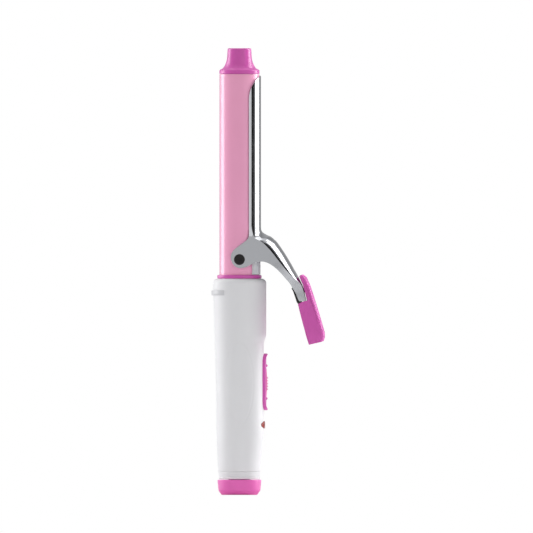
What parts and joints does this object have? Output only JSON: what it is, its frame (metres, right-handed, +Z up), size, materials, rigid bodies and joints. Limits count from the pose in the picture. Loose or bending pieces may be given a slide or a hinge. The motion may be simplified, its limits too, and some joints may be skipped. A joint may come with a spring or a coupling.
{
  "type": "clip curling iron",
  "caption": "Slim hair curler with a coated barrel, a sprung bright clip with a thumb lever, a white tubular handle with a slide switch and lamp, and a swivelling end cap.",
  "frame": {"origin": "middle of the footprint box, on the base plane of the end cap; the barrel axis is 13.6 mm towards -X", "axes": "+Z up along the barrel, from end cap to tip; +X the way the lever, switch and lamp face; +Y along the clip pivot"},
  "size_m": [0.0539, 0.0252, 0.2122],
  "materials": {
    "white_shell": "smooth moulded",
    "magenta_plastic": "satin moulded",
    "heat_bush": "matt",
    "pink_coating": "gloss baked coating",
    "grey_plastic": "satin moulded",
    "chrome": "polished plate",
    "steel": "brushed",
    "black_finish": "blackened",
    "black_plastic": "satin moulded",
    "lead_black": "smooth",
    "lead_red": "smooth",
    "black_rubber": "matt",
    "aluminium": "machined",
    "red_lens": "clear tinted",
    "green_board": "lacquered",
    "brass": "plain"
  },
  "bodies": {
    "handle": {"handle_shell": "white_shell", "neck_ring": "white_shell", "collar_ring": "magenta_plastic", "barrel_socket": "heat_bush", "rest_foot": "grey_plastic", "barrel_tube": "pink_coating", "tip_cap": "magenta_plastic", "hinge_sleeve": "steel", "pivot_screw_right": "black_finish", "pivot_screw_left": "black_finish", "spring_plate": "chrome", "leaf_spring": "steel", "rivet_lower": "steel", "rivet_upper": "steel", "heat_spreader_back": "aluminium", "heat_spreader_front": "aluminium", "ptc_heater": "heat_bush", "thermal_fuse": "heat_bush", "heater_lead_live": "lead_red", "heater_lead_neutral": "lead_black", "fuse_lead": "lead_black", "switch_bezel": "magenta_plastic", "switch_body": "black_plastic", "indicator_lens": "red_lens", "indicator_led": "red_lens", "circuit_board": "green_board", "chassis": "black_plastic", "board_screw_lower": "steel", "board_screw_upper": "steel", "dropper_resistor": "heat_bush", "brush_live": "brass", "brush_neutral": "brass"},
    "clip": {"clip_arm": "chrome", "thumb_pad": "magenta_plastic", "pad_liner": "black_plastic", "pad_rivet": "steel"},
    "switch_slider": {"switch_knob": "magenta_plastic", "switch_contact": "brass"},
    "swivel_cap": {"end_cap": "magenta_plastic", "swivel_spindle": "white_shell", "cord_gland": "black_rubber", "slip_ring_live": "brass", "slip_ring_neutral": "brass", "swivel_clip": "steel"}
  },
  "joints": [
    {"name": "clip_hinge", "type": "hinge", "parent": "handle", "child": "clip", "pos_m": [-0.0136, 0, 0.1118], "axis": [0, 1, 0], "range_deg": [0, 20], "stiffness_Nm_per_rad": 0.26, "springref_deg": -17.76, "deforming": ["leaf_spring"]},
    {"name": "switch_slide", "type": "slide", "parent": "handle", "child": "switch_slider", "axis": [0, 0, 1], "range_m": [-0.003, 0.003]},
    {"name": "cord_swivel", "type": "hinge", "parent": "handle", "child": "swivel_cap", "pos_m": [-0.0136, 0, 0], "axis": [0, 0, 1], "continuous": true}
  ]
}
